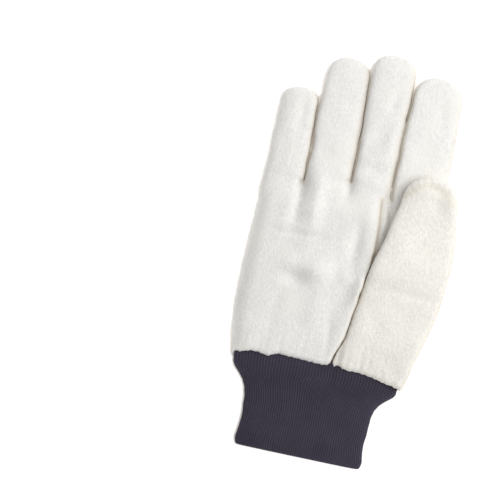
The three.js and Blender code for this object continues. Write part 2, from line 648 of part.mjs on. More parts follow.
const pieces = [
  { name: "palm_panel", solid: palmPanel, color: CANVAS_COLOR },
  { name: "thumb_front", solid: thumbCloth.intersect(aboveThumbSeam(SEAM_GAP / 2)), color: THUMB_COLOR },
  { name: "thumb_back", solid: thumbCloth.subtract(aboveThumbSeam(-SEAM_GAP / 2)), color: CANVAS_COLOR },
  { name: "knit_cuff", solid: cuff, color: KNIT_COLOR },
];
for (const [index, finger] of ["little", "ring", "middle", "index"].entries()) {
  const solid = backCloth.intersect(stripRoom(index));
  pieces.push({ name: `back_strip_${finger}`, solid, color: CANVAS_COLOR });
}

const glove = new THREE.Group();
for (const { name, solid, color } of pieces) {
  const material = new THREE.MeshStandardMaterial({ color, roughness: 0.95, metalness: 0 });
  const mesh = new THREE.Mesh(toGeometry(solid), material);
  mesh.name = name;
  glove.add(mesh);
}

// The origin is on the table, under the middle of the glove.
const box = new THREE.Box3().setFromObject(glove);
const centre = box.getCenter(new THREE.Vector3());
glove.position.set(-centre.x, -centre.y, -box.min.z);

export default glove;
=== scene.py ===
# %% [markdown]
# # A cotton work glove
# This lesson dresses the CAD model of one canvas work glove with a knit wrist. The glove lies
# palm up on a table, with its thumb over the palm. The CAD gives the sizes and the places of
# the panels, and here each panel gets its soft form, its seams and its cloth.

import math

import bmesh
import bpy
import numpy as np
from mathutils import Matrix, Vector, noise
from mathutils.kdtree import KDTree


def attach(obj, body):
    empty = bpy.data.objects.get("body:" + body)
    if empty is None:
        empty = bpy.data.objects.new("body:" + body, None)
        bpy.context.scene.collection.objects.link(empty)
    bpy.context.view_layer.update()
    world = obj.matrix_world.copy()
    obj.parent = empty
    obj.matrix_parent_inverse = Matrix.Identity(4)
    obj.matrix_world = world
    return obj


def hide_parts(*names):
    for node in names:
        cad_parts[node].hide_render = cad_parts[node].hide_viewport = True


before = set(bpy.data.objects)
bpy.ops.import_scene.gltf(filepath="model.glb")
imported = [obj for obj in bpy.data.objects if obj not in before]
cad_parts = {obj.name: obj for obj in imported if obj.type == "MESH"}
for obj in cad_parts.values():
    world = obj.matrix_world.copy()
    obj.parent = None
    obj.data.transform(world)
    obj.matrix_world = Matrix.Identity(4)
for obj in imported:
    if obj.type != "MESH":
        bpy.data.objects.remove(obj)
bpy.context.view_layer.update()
print("nodes:", sorted(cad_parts))

# %% [markdown]
# All measurements of the glove are in millimetres: x to the thumb's side, y up from the hem of
# the knit wrist, and z up from the table. One function turns them into the frame's metres. The
# tables are read along a smooth curve, so that few rows draw a soft outline. A Bezier curve
# could hold the same outline, but a table can be read and changed in one look.

# %% Units and small helpers
MM = 0.001
HEM_Y = -130.75      # where the hem of the knit lies in the frame
MOUTH_Y = 60.0       # where the canvas is sewn to the knit
FINGER_START = 158.0  # where the finger tubes start, inside the hand
PALM = 113.0         # the palm's length, from the canvas's seam to the fingers
SEAM_Z = 6.5         # how high the seam round the hand's side lies


def to_frame(points):
    """Turns millimetres from the hem into the frame's metres."""
    return (np.asarray(points, float) + [0, HEM_Y, 0]) * MM


def mix(a, b, t):
    return a + (b - a) * t


def smooth(t):
    t = np.clip(t, 0, 1)
    return t * t * (3 - 2 * t)


def arc(t, power):
    """A quarter of a rounded square: 1 at t = 0, falling to 0 at t = 1."""
    return (1 - np.clip(t, 0, 1) ** power) ** (1 / power)


def swell(distance, width):
    return np.exp(-((distance / width) ** 2))


def curve(rows, place):
    """Reads a table of (place, value) rows along a smooth curve."""
    at, value = np.array(rows, float).T
    slope = np.gradient(value, at)
    i = np.clip(np.searchsorted(at, place) - 1, 0, len(at) - 2)
    span = at[i + 1] - at[i]
    t = np.clip((place - at[i]) / span, 0, 1)
    ahead = value[i] + slope[i] * span * t
    behind = value[i + 1] - slope[i + 1] * span * (1 - t)
    return mix(ahead, behind, smooth(t))


# %% [markdown]
# A finger of a canvas glove is two strips of cloth sewn along their sides and turned inside
# out, so it is a soft tube, fuller above than on the table. It could be pulled out of a box by
# hand. Here each finger's two edges are rows of a table instead, which keeps them where they
# were measured, and its end is a rounded square.
#
# `corners` says how long the roundings of the end are, left and right, as a share of the width.
# `slim` takes something off the sides next to other fingers, so that the remesh doesn't close
# the narrow gaps. `shoulders` says how square the two upper edges are, and `tilt`, `crown` and
# `sink` lean the top to one side, arch it and lower it.

# %% The fingers' tables
FINGERS = {
    "little": {
        "left": [(158, -63.8), (175, -63.0), (200, -62.6), (222, -62.6)],
        "right": [(158, -37.3), (175, -37.0), (200, -37.6), (222, -38.2)],
        "tip": 229.5,
        "corners": (0.5, 0.42), "slim": (0.0, 1.5), "shoulders": (3.8, 5.6),
        "tilt": -0.05, "crown": 1.2, "sink": 0.0,
    },
    "ring": {
        "left": [(158, -37.5), (180, -37.8), (212, -37.7), (242, -37.6)],
        "right": [(158, -7.9), (180, -7.8), (212, -8.0), (247, -9.8)],
        "tip": 254.0,
        "corners": (0.58, 0.42), "slim": (1.5, 1.5), "shoulders": (7.5, 5.0),
        "tilt": -0.13, "crown": 1.3, "sink": 0.0,
    },
    "middle": {
        "left": [(158, -7.9), (190, -8.0), (226, -8.5), (250, -9.7)],
        "right": [(158, 18.8), (190, 18.9), (212, 18.9), (248, 19.0)],
        "tip": 261.4,
        "corners": (0.46, 0.42), "slim": (1.5, 1.5), "shoulders": (7.0, 8.0),
        "tilt": -0.13, "crown": 1.3, "sink": 0.0,
    },
    "index": {
        "left": [(158, 18.0), (190, 18.1), (225, 18.2), (242, 18.7)],
        "right": [(158, 53.2), (190, 52.8), (212, 52.0), (242, 51.0)],
        "tip": 253.0,
        "corners": (0.5, 0.54), "slim": (1.5, 0.0), "shoulders": (10.0, 3.0),
        "tilt": -0.14, "crown": 0.0, "sink": 1.8,
    },
}
FINGER_HIGH = [(158, 15.2), (200, 14.6), (262, 13.4)]
END_POWER = 2.4      # how square a closed end is: 2 is a circle
NARROWEST = 0.12     # the share of its width to which an end closes


def finger_section(finger, y):
    """A finger's sides and top at y, with how far its end has closed."""
    left = curve(finger["left"], y)
    right = curve(finger["right"], y)
    wide = curve(finger["right"], finger["tip"]) - curve(finger["left"], finger["tip"])
    from_tip = finger["tip"] - y
    closing = [arc(1 - from_tip / (share * wide), END_POWER) for share in finger["corners"]]
    left_full, right_full = [np.maximum(full, NARROWEST) for full in closing]
    middle, half = (left + right) / 2, (right - left) / 2
    sides = middle - half * left_full, middle + half * right_full
    return *sides, curve(FINGER_HIGH, y), (left_full + right_full) / 2


for name, finger in FINGERS.items():
    left, right, high, _ = finger_section(finger, 200.0)
    print(name, "is", round(float(right - left), 1), "wide and ends at", finger["tip"])

# %% [markdown]
# Every soft form starts as one tube: `create_cone` makes it, `subdivide_edges` gives it rings,
# and each ring is then laid on the outline that the tables give at its place. A coarse cage
# under a Subdivision Surface needs fewer points, but it rounds off what was measured. Sewn
# tubes that run into each other, like the fingers and the hand, are joined by a voxel remesh
# afterwards.

# %% A tube on given outlines
def tube(points, closed=True):
    """A tube whose rings take their places from an array [ring, point, xyz]."""
    rings, around, _ = points.shape
    bm = bmesh.new()
    bmesh.ops.create_cone(bm, cap_ends=closed, segments=around, radius1=1, radius2=1, depth=1)
    lengthways = [e for e in bm.edges if abs(e.verts[0].co.z - e.verts[1].co.z) > 0.5]
    bmesh.ops.subdivide_edges(bm, edges=lengthways, cuts=rings - 2)
    ring_layer = bm.verts.layers.int.new("ring")
    step_layer = bm.verts.layers.int.new("step")
    for vert in bm.verts:
        ring = round((vert.co.z + 0.5) * (rings - 1))
        step = round(math.atan2(vert.co.y, vert.co.x) / math.tau * around) % around
        vert[ring_layer], vert[step_layer] = ring, step
        vert.co = points[ring, step]
    bmesh.ops.recalc_face_normals(bm, faces=bm.faces[:])
    return bm


def add_object(name, bm):
    mesh = bpy.data.meshes.new(name)
    bm.to_mesh(mesh)
    bm.free()
    obj = bpy.data.objects.new(name, mesh)
    bpy.context.scene.collection.objects.link(obj)
    return obj


def rounded_square(turn, power):
    """How far sideways, -1 to 1, and how far from the middle, 0 to 1, an outline is."""
    side = np.sign(np.cos(turn)) * np.abs(np.cos(turn)) ** (2 / power)
    return side, np.abs(np.sin(turn)) ** (2 / power)


def around_section(count, left, right, top, bottom, shoulders, below):
    """The points of one closed outline, from its right side over the top and back below."""
    turn = np.arange(count) / count * math.tau
    power = np.where(turn > math.pi, below, np.where(np.cos(turn) < 0, shoulders[0], shoulders[1]))
    side, up = rounded_square(turn, power)
    x = (left + right) / 2 + (right - left) / 2 * side
    z = np.where(turn <= math.pi, mix(SEAM_Z, top, up), mix(SEAM_Z, bottom, up))
    return x, z


# %% The four finger tubes
FINGER_RINGS, FINGER_AROUND = 70, 72
UNDERSIDE = 3.4      # how square the underside's edges are


def finger_tube(finger):
    """A closed tube on a finger's outlines, with more rings towards its end."""
    ys = mix(FINGER_START, finger["tip"], np.sin(np.linspace(0, math.pi / 2, FINGER_RINGS)))
    points = np.zeros((len(ys), FINGER_AROUND, 3))
    for ring, y in enumerate(ys):
        left, right, high, full = finger_section(finger, y)
        left, right = left + finger["slim"][0], right - finger["slim"][1]
        full = mix(0.35, 1, full)
        top, bottom = mix(SEAM_Z, high - finger["sink"], full), mix(SEAM_Z, 0.0, full)
        shape = (left, right, top, bottom, finger["shoulders"], UNDERSIDE)
        x, z = around_section(FINGER_AROUND, *shape)
        across = (x - (left + right) / 2) * np.clip(z / SEAM_Z - 1, 0, 1)
        z += finger["tilt"] * across - finger["crown"] * (2 * across / (right - left)) ** 2
        points[ring] = np.stack([x, np.full(FINGER_AROUND, y), z], axis=1)
    return tube(to_frame(points))


finger_forms = [add_object("form_" + name, finger_tube(part)) for name, part in FINGERS.items()]
print("finger tubes:", [len(form.data.vertices) for form in finger_forms])

# %% [markdown]
# The hand is a flat bag: the palm panel arches over it, and at its sides the cloth turns round
# to the back strips. Its height is a function of the place. It falls away to the groove in
# which the thumb is sewn, and near the fingers it takes up the fingers' own humps. A grid could
# be pulled up by hand instead, but in a function each of these parts is a line or two.

# %% The hand's tables
HAND_LEFT = [
    (40, -57.6), (60, -58.6), (68, -61.0), (80, -63.4),
    (100, -64.4), (130, -63.9), (158, -63.2), (176, -63.0),
]
HAND_RIGHT = [
    (40, 46.0), (60, 47.0), (70, 50.0), (85, 53.0), (110, 55.0), (140, 55.4), (176, 53.0),
]
GROOVE = [
    (40, 1.2), (60, 3.0), (70, 5.5), (76, 7.8), (85, 9.7), (95, 10.8), (105, 11.8),
    (115, 13.2), (125, 14.8), (135, 15.7), (145, 15.4), (155, 14.6), (165, 13.6), (180, 12.6),
]
GROOVE_WIDTH = 1.5
CROTCH_END = [
    (-64, 171), (-36.5, 171), (-22, 174), (-7.5, 176.5), (6, 174), (19, 170.5), (56, 168),
]
HAND_END = 173.0
HAND_THICK, MOUTH_THICK = 20.0, 17.0
SIDE_ROUND = 11.0    # how far in from the side the palm starts to turn down
DIP = 8.6            # how high the hand is between two fingers
SHELF = (8.0, 15.8)  # how high it is under the thumb, at the wrist and at the fingers


def fingers_height(x, y):
    """The humps of the fingers across the hand, with dips between them."""
    best = np.full(np.shape(x), DIP)
    for finger in FINGERS.values():
        left, right, high, _ = finger_section(finger, y)
        middle, half = (left + right) / 2, (right - left) / 2
        best = np.maximum(best, mix(DIP, high, arc(np.abs(x - middle) / (half + 0.8), 2.5)))
    return best


def palm_height(x, y):
    """How high the palm stands, before it turns down at the hand's sides."""
    up = (y - MOUTH_Y) / PALM
    across = (x + 5.5) / 58
    arch = 1 - 0.1 * np.abs(up - 0.5) - 0.08 * across**2
    high = mix(HAND_THICK * arch, MOUTH_THICK, (1 - np.clip(up / 0.14, 0, 1)) ** 2)
    groove = curve(GROOVE, y)
    turned = np.clip((x - groove + GROOVE_WIDTH) / GROOVE_WIDTH, 0, 1)
    shelf = mix(*SHELF, smooth((y - 70) / 70))
    ridge = smooth((y - 66) / 16) * (1 - smooth((y - 136) / 12))
    high = high + 1.2 * ridge * smooth((x - groove + 12) / 9)
    high = mix(high, np.minimum(high, shelf), 1 - arc(turned, 2.2))
    humps = fingers_height(x, np.maximum(y, 167.0))
    return mix(high, np.minimum(high, humps), smooth((up - 0.84) / 0.14))


# %% The hand's tube
TUBE_START = 40.0    # hand and thumb start below the seam to the knit, where they are cut later


def hand_tube():
    """The hand's flat bag, closed at the finger roots."""
    around, rings = 260, 130
    ys = mix(TUBE_START, HAND_END, np.linspace(0, 1, rings))
    points = np.zeros((rings, around, 3))
    turn = np.arange(around) / around * math.tau
    above = turn <= math.pi
    for ring, y in enumerate(ys):
        left, right = curve(HAND_LEFT, y), curve(HAND_RIGHT, y)
        x = mix(left, right, (1 + np.cos(turn)) / 2)
        edge = np.minimum(x - left, right - x) / SIDE_ROUND
        closing = arc(1 - (HAND_END - y) / 6.0, END_POWER)
        top = mix(SEAM_Z, mix(DIP, palm_height(x, y), closing), arc(1 - edge, 2.2))
        bottom = SEAM_Z * (1 - arc(1 - edge, 3.2) * mix(0.3, 1, closing))
        lengthened = y + (curve(CROTCH_END, x) - HAND_END) * smooth((y - 140) / 33)
        points[ring] = np.stack([x, lengthened, np.where(above, top, bottom)], axis=1)
    return tube(to_frame(points))


hand_form = add_object("form_hand", hand_tube())
print("hand tube:", len(hand_form.data.vertices), "points")

# %% [markdown]
# The thumb is a separate two-panel tube. It is sewn to the palm along the groove, and from
# half way up it lies free, over the root of the index finger. Its underside is kept just clear
# of what it lies on. A simulation could let it fall there, but a table of its low side puts it
# down at once, and always in the same place.

# %% The thumb's tables
THUMB_LEFT = [
    (40, 1.6), (60, 3.4), (66, 4.6), (71, 5.8), (76, 7.7), (85, 9.3), (95, 10.5), (105, 11.9),
    (115, 13.4), (125, 14.9), (132, 16.2), (140, 18.4), (148, 20.2), (155, 21.6), (165, 23.6),
    (172, 24.8), (180, 25.4),
]
THUMB_RIGHT = [
    (40, 48.2), (55, 49.2), (65, 51.2), (75, 54.0), (85, 57.2), (95, 60.0), (105, 62.2),
    (115, 63.6), (130, 64.8), (140, 65.1), (150, 64.7), (160, 63.6), (172, 61.6), (180, 60.6),
]
THUMB_LOW = [
    (40, 5.4), (60, 7.0), (75, 8.6), (95, 9.4), (112, 10.8),
    (125, 13.0), (140, 14.8), (160, 15.4), (190, 15.7),
]
THUMB_THICK = [
    (40, 10.9), (60, 11.8), (66, 12.8), (76, 14.0), (95, 14.0),
    (112, 12.8), (124, 12.0), (140, 10.2), (165, 8.8), (190, 7.8),
]
THUMB_TIP, THUMB_ROUND = 189.5, 17.0
THUMB_SEAM_SHARE = 0.42  # how far up its thickness the thumb is widest and has its seam


def thumb_section(y):
    """The thumb's sides, low side and thickness at y, with how far its end has closed."""
    left, right = curve(THUMB_LEFT, y), curve(THUMB_RIGHT, y)
    full = np.maximum(arc((y - THUMB_TIP + THUMB_ROUND) / THUMB_ROUND, 2.5), NARROWEST)
    middle, half = (left + right) / 2, (right - left) / 2 * full
    return middle - half, middle + half, curve(THUMB_LOW, y), curve(THUMB_THICK, y), full


# %% The thumb's tube
def thumb_tube():
    """The thumb, with its upper edge squarer on the left than on the right."""
    around, free_end = 140, 165.0
    closing_rings = np.sin(np.linspace(0.05, math.pi / 2, 36))
    ys = np.concatenate([np.linspace(TUBE_START, free_end, 84), mix(free_end, THUMB_TIP, closing_rings)])
    points = np.zeros((len(ys), around, 3))
    turn = np.arange(around) / around * math.tau
    above = turn <= math.pi
    for ring, y in enumerate(ys):
        left, right, low, thick, full = thumb_section(y)
        left_shoulder = mix(5.0, 6.0, smooth((y - 100) / 20)) - 3.0 * smooth((y - 150) / 18)
        shoulder = np.where(np.cos(turn) < 0, left_shoulder, mix(8.0, 5.0, smooth((y - 90) / 60)))
        side, up = rounded_square(turn, np.where(above, shoulder, 2.8))
        widest = low + THUMB_SEAM_SHARE * thick
        reach = np.where(above, 0.58 * thick, -THUMB_SEAM_SHARE * thick) * mix(0.32, 1, full)
        x = (left + right) / 2 + (right - left) / 2 * side
        lean = -0.08 * (x - 42) * smooth((y - 112) / 14)
        lean *= (1 - smooth((y - 160) / 16)) * above
        points[ring] = np.stack([x, np.full(around, y), widest + reach * up + lean], axis=1)
    return tube(to_frame(points))


thumb_form = add_object("form_thumb", thumb_tube())
print("thumb tube:", len(thumb_form.data.vertices), "points")

# %% [markdown]
# The tubes become cloth forms here. A voxel remesh melts the fingers into the hand with even
# squares of about a millimetre, a few rounds of `smooth_vert` soften the joins, and
# `bisect_plane` opens the form where the knit wrist goes in. A Boolean union would join the
# tubes as well, but with hard creases and long thin faces, which take no folds.

# %% Melt, soften and open the forms
VOXEL = 1.1 * MM


def settle(obj):
    """Applies the object's modifiers to its mesh."""
    graph = bpy.context.evaluated_depsgraph_get()
    mesh = bpy.data.meshes.new_from_object(obj.evaluated_get(graph))
    obj.modifiers.clear()
    obj.data = mesh
    return obj


def melt(name, forms):
    """Joins closed forms into one skin of even squares."""
    bm = bmesh.new()
    for form in forms:
        bm.from_mesh(form.data)
        bpy.data.objects.remove(form)
    joined = add_object(name, bm)
    remesh = joined.modifiers.new("even squares", "REMESH")
    remesh.mode = "VOXEL"
    remesh.voxel_size = VOXEL
    return settle(joined)


def relax(bm, verts, rounds):
    axes = {"use_axis_x": True, "use_axis_y": True, "use_axis_z": True}
    for _ in range(rounds):
        bmesh.ops.smooth_vert(bm, verts=verts, factor=0.5, **axes)


def soften_and_open(obj, rounds, join_rounds):
    """Softens the whole skin, then the finger roots more, and cuts the mouth open."""
    bm = bmesh.new()
    bm.from_mesh(obj.data)
    relax(bm, bm.verts[:], rounds)
    low, high = (152 + HEM_Y) * MM, (180 + HEM_Y) * MM
    relax(bm, [v for v in bm.verts if low < v.co.y < high], join_rounds)
    mouth = {"plane_co": (0, (MOUTH_Y + HEM_Y) * MM, 0), "plane_no": (0, 1, 0)}
    everything = bm.verts[:] + bm.edges[:] + bm.faces[:]
    bmesh.ops.bisect_plane(bm, geom=everything, clear_inner=True, **mouth)
    bm.to_mesh(obj.data)
    bm.free()


hand = melt("hand_form", finger_forms + [hand_form])
soften_and_open(hand, 4, 12)
thumb = melt("thumb_form", [thumb_form])
soften_and_open(thumb, 6, 0)
print("hand skin:", len(hand.data.polygons), "faces; thumb skin:", len(thumb.data.polygons))

# %% [markdown]
# The rest of the form is sculpted in code: all points are read into one array, moved by a
# height map, and written back. A fold is a soft swell or dent at a place, longer one way than
# the other. A cloth simulation finds folds of its own, and a worn glove's folds are where the
# hand left them, so each is one row of a table.

# %% Read and write points
def read_points(obj):
    mesh = obj.data
    flat = np.zeros(len(mesh.vertices) * 3)
    mesh.vertices.foreach_get("co", flat)
    points = flat.reshape(-1, 3) / MM - [0, HEM_Y, 0]
    mesh.vertex_normals.foreach_get("vector", flat)
    return points, flat.reshape(-1, 3).copy()


def write_points(obj, points):
    obj.data.vertices.foreach_set("co", to_frame(points).ravel())
    obj.data.update()


def cloth_noise(points, size, seed):
    """Soft unevenness between -1 and 1, with humps of about the given size."""
    at = points / size + seed
    return np.array([noise.noise(Vector(p)) for p in at])


def line_distance(points, line):
    """The distance of each point from a polyline in the table's plane, and how far along it is."""
    best = np.full(len(points), 1e9)
    along = np.zeros(len(points))
    run = 0.0
    for a, b in zip(np.array(line[:-1], float), np.array(line[1:], float)):
        step = b - a
        length = math.hypot(*step)
        t = np.clip(((points[:, :2] - a) @ step) / length**2, 0, 1)
        gap = np.hypot(*(points[:, :2] - a - t[:, None] * step).T)
        closer = gap < best
        best = np.where(closer, gap, best)
        along = np.where(closer, run + t * length, along)
        run += length
    return best, along


# %% Folds of the palm and the fingers
# Each row: x, y, half width, half length, turn in degrees, height (a dent's is below zero).
PALM_FOLDS = [
    (-38, 162, 3.2, 17, 2, -2.2),
    (-37, 172, 2.6, 6, 0, -1.2),
    (-27.5, 158, 5.2, 18, 0, 2.9),
    (-27, 174, 6, 6, 0, 1),
    (-9, 172, 3, 6, 0, -1),
    (7, 158, 6.5, 16, 6, 1.5),
    (3, 140, 4, 13, 4, -2.3),
    (-34, 119, 8.5, 5, 4, 1.2),
    (-31, 111, 8.5, 5, 0, -2.2),
    (-19, 116, 8.5, 8, 0, 3.5),
    (-13, 119, 5.5, 7, 0, 1.2),
    (0.5, 117.5, 4, 4, 0, 1.2),
    (11.5, 110, 4.5, 10, 6, 3.2),
    (20, 163, 1.5, 8, -4.5, -2.2),
    (17.6, 154, 2.2, 12, 2, 2.4),
    (-14, 96, 5.5, 11, 8, 1),
    (-40, 84, 4, 18, 8, -0.6),
    (-3, 84, 3, 14, -6, -0.8),
    (-46, 140, 4, 16, 10, 0.3),
    (-32, 138, 14, 2.2, -4, -0.8),
    (-32, 143, 14, 2.2, -4, 0.4),
    (-15, 181, 7, 5, 0, 0.9),
    (5, 179, 9, 3.4, 0, 0.9),
    (5.5, 187, 7, 3.6, 0, -1.3),
    (4, 208, 4, 7, 30, -1.2),
    (11, 205, 4, 14, 6, 1),
    (8, 232, 3.2, 7, 10, -1),
    (-1, 200, 3.4, 6, 0, -0.8),
    (-28, 192, 5, 5, 20, -0.7),
    (-20, 226, 4, 8, 0, -0.6),
    (-48, 212, 3.4, 14, 0, -0.9),
    (-56, 186, 4, 10, 0, -0.6),
    (36, 205, 6, 9, 15, -0.7),
    (40, 228, 3.4, 9, -5, -0.7),
]


def fold_heights(points, folds):
    total = np.zeros(len(points))
    for x, y, wide, long, degrees, height in folds:
        turn = math.radians(degrees)
        dx, dy = points[:, 0] - x, points[:, 1] - y
        across = dx * math.cos(turn) - dy * math.sin(turn)
        along = dx * math.sin(turn) + dy * math.cos(turn)
        total += height * swell(across, wide) * swell(along, long)
    return total


# %% [markdown]
# Three seams run down the back from the finger crotches to the wrist, and one seam runs round
# the side, between the palm panel and the back strips. A turned seam pulls the cloth in, so
# each is a narrow valley between two rounded lips, with small puckers. A bump map could draw
# them, but then the outline would stay smooth. How far each point is from its seam is stored
# on the mesh, where the cloth's material can read it.
#
# Two lines on the palm's side have no valley and are painted shade: a dark line above the
# groove, beside the thumb, and one where the middle and the index finger lie close together.

# %% Seams and lines of painted shade
BACK_SEAMS = [
    [(-36.3, 172), (-36.6, 155), (-37.6, 135), (-38.0, 116), (-36.6, 95), (-34.6, 75), (-33.4, 50)],
    [(-7.7, 177), (-6.6, 162), (-3.7, 145), (-0.2, 120), (1.6, 90), (2.8, 70), (3.6, 50)],
    [(19.2, 171), (22.0, 160), (27.8, 145), (33.0, 120), (34.8, 90), (34.8, 70), (35.0, 50)],
]
# Two lines of painted shade, with no valley: beside the thumb above the groove, and between the middle
# and the index finger.
THUMB_GROOVE_SHADE_LINE = [(16.0, 134), (15.5, 145), (14.8, 153.5), (13.3, 170)]
FINGER_GAP_SHADE_LINE = [(19.6, 171), (18.5, 180), (18.45, 212), (18.9, 243)]


def pucker(along, pitch, seed):
    """Small uneven waves along a seam."""
    long_waves = 0.6 * np.sin(along / pitch * math.tau + seed)
    return long_waves + 0.4 * np.sin(along / (pitch * 0.61) * math.tau + 2 * seed)


def seam_valley(gap, along, wide, deep, seed):
    """The height across a seam: a valley, its two lips and the puckers on them."""
    lips = 0.35 * deep * (swell(gap - 2.2 * wide, wide) + swell(gap + 2.2 * wide, wide))
    puckers = 0.22 * deep * pucker(along, 5.2, seed) * swell(gap - 1.6 * wide, 1.8 * wide)
    return lips + puckers - deep * swell(gap, wide)


# %% The canvas's edge at the knit
MOUTH_PALM = [
    (-66, 52), (-58, 56), (-52, 58.6), (-45, 60.0), (-40, 59.4), (-36.5, 59.0), (-33, 60.6),
    (-25, 61.0), (-10, 60.5), (0, 60.5), (5, 61.0), (8, 61.6), (10.5, 60.6), (20, 60.0),
    (28, 59.0), (38, 56.8), (48, 54.4), (56, 50),
]
MOUTH_BACK = [(-66, 50), (-45, 55), (-25, 53), (-4, 51.5), (20, 52), (40, 53.5), (56, 50)]
SCALLOP = 0.3


def fit_mouth(points):
    """Bends the straight opening to the line where the canvas is sewn to the knit."""
    palm, back = curve(MOUTH_PALM, points[:, 0]), curve(MOUTH_BACK, points[:, 0])
    scallops = SCALLOP * pucker(points[:, 0], 4.3, 2)
    line = mix(back, palm, smooth((points[:, 2] - 3) / 9)) + scallops
    points[:, 1] += (line - MOUTH_Y) * (1 - smooth((points[:, 1] - MOUTH_Y) / 30))


def gather(points, normals):
    """Cloth eased onto the knit: soft pleats that fade upwards, and a lip that turns in."""
    height = points[:, 1] - MOUTH_Y
    side = points[:, 0] + 40 * (normals[:, 2] < 0)
    waves = 0.5 * np.sin(side / 7.3 * math.tau) + 0.5 * np.sin(side / 4.7 * math.tau + 1.3)
    uneven = 0.6 + 0.6 * cloth_noise(points, 16, 31.0)
    pleats = 0.55 * waves * uneven * np.exp(-height / 10) * smooth(height / 5)
    lip = -1.5 * np.clip(1 - height / 3.2, 0, 1) ** 2
    points += normals * (pleats + lip)[:, None]


# %% Fit a finger's edges to its table
CROTCHES = [171.0, 176.5, 170.5]  # where the three gaps between the fingers end
HAND_TOP = 169.5     # below this only the sides of the little and the index finger are moved
TIP_START = 196.0    # above this a finger is stretched lengthways
BAND = 2.0           # the edges are measured in bands of this height


def half_way(index, y):
    """The lines half way from one finger to the neighbours on its two sides."""
    parts = list(FINGERS.values())
    pairs = zip(parts[:-1], parts[1:])
    lines = [np.full(np.shape(y), -99.0)]
    lines += [(curve(a["right"], y) + curve(b["left"], y)) / 2 for a, b in pairs]
    lines += [np.full(np.shape(y), 99.0)]
    return lines[index], lines[index + 1]


def averaged(values):
    """Each value averaged with its two neighbours."""
    return np.convolve(np.pad(values, 1, "edge"), np.ones(3) / 3, "valid")


def edge_gaps(points, part, inside):
    """How far a finger's two edges have to move at each point's height to meet the table."""
    x, y = points[:, 0], points[:, 1]
    bands = np.arange(180, part["tip"] - 13, BAND)
    rows = [x[inside & (y >= low) & (y < low + BAND)] for low in bands]
    middles = bands + BAND / 2
    left_gap = averaged(curve(part["left"], middles) - [row.min() for row in rows])
    right_gap = averaged(curve(part["right"], middles) - [row.max() for row in rows])
    return np.interp(y, middles, left_gap), np.interp(y, middles, right_gap)


def fit_edges(points, index, part):
    """Stretches one finger until its edges and its tip are where its table has them."""
    x, y = points[:, 0], points[:, 1]
    outer_left, outer_right = index == 0, index == len(FINGERS) - 1
    low_side, high_side = half_way(index, y)
    inside = (x > low_side) & (x < high_side)
    to_left, to_right = edge_gaps(points, part, inside)
    tighter = 1 + 0.3 * (1 - smooth((y - 176) / 8))
    to_left *= 1.0 if outer_left else tighter * smooth((y - CROTCHES[index - 1]) / 2.5)
    to_right *= 1.0 if outer_right else tighter * smooth((y - CROTCHES[index]) / 2.5)
    on_finger = np.maximum(y, FINGER_START)
    left, right = curve(part["left"], on_finger), curve(part["right"], on_finger)
    share = np.clip((x - left) / (right - left), 0, 1)
    beside_hand = (outer_left & (x < right)) | (outer_right & (x > left))
    chosen = (inside & (y > HAND_TOP)) | ((y <= HAND_TOP) & beside_hand)
    points[:, 0] = np.where(chosen, x + mix(to_left, to_right, share), x)
    tip = y[inside].max()
    stretched = y + (part["tip"] - tip) * smooth((y - TIP_START) / (tip - TIP_START))
    points[:, 1] = np.where(inside & (y > TIP_START), stretched, y)


# %% Sculpt the hand
FAR = 9.0            # the seam distance of points that are on no seam


def facing(normals):
    """How far each point faces up, down and sideways, from 0 to 1."""
    up = normals[:, 2]
    upward, downward = np.clip(up * 1.6, 0, 1), np.clip(-up * 1.6, 0, 1)
    return upward, downward, np.clip(1 - np.abs(up) * 1.3, 0, 1)


def flank_shade(normals):
    """A small seam distance on cloth that turns away to the thumb's side, for a painted tan shade there.
    """
    return 6 * (1 - normals[:, 0])


def sculpt_hand():
    """Gives the hand its folds, seams and edges, and returns each point's seam and painted-shade
    distance.
    """
    points, normals = read_points(hand)
    upward, downward, sideways = facing(normals)
    points[:, 2] += upward * fold_heights(points, PALM_FOLDS)
    seam = np.full(len(points), FAR)
    for index, line in enumerate(BACK_SEAMS):
        gap, along = line_distance(points, line)
        points += normals * (downward * seam_valley(gap, along, 1.5, 1.0, index + 1))[:, None]
        seam = np.where(normals[:, 2] < 0, np.minimum(seam, gap), seam)
    beside = np.abs(points[:, 2] - SEAM_Z)
    along = points[:, 1] + 0.7 * points[:, 0]
    points += normals * (sideways * seam_valley(beside, along, 1.2, 0.4, 4))[:, None]
    seam = np.where(sideways > 0.2, np.minimum(seam, beside), seam)
    # Painted shade: a dark tan line above the thumb's groove, and a tan on the flanks that turn to the
    # thumb's side.
    gap, _ = line_distance(points, THUMB_GROOVE_SHADE_LINE)
    shaded = np.minimum(1.6 * gap, flank_shade(normals))
    seam = np.where(normals[:, 2] > 0, np.minimum(seam, shaded), seam)
    uneven = 0.45 * cloth_noise(points, 34, 5.0) + 0.2 * cloth_noise(points, 13, 9.0)
    uneven += 0.09 * cloth_noise(points * [1, 0.5, 1], 5.5, 2.0) + 0.06 * cloth_noise(points, 3.2, 7.0)
    points += normals * uneven[:, None]
    for index, finger in enumerate(FINGERS.values()):
        fit_edges(points, index, finger)
    # Painted shade: a dark line where the middle and the index finger lie close together.
    gap, _ = line_distance(points, FINGER_GAP_SHADE_LINE)
    seam = np.where(normals[:, 2] > 0, np.minimum(seam, 1.6 * gap), seam)
    x, y = points[:, 0], points[:, 1]
    sway = 0.16 * np.sin(y / 5.3 + x / 9) + 0.12 * np.sin(y / 2.7 + x / 6)
    points[:, 0] += sway * smooth((y - 174) / 10)
    gather(points, normals)
    fit_mouth(points)
    points[:, 2] = np.maximum(points[:, 2], 0)
    write_points(hand, points)
    return seam


hand_seam_and_shade_distance = sculpt_hand()
hand_points, _ = read_points(hand)
print("hand sculpted (mm):", hand_points.min(axis=0).round(1), hand_points.max(axis=0).round(1))

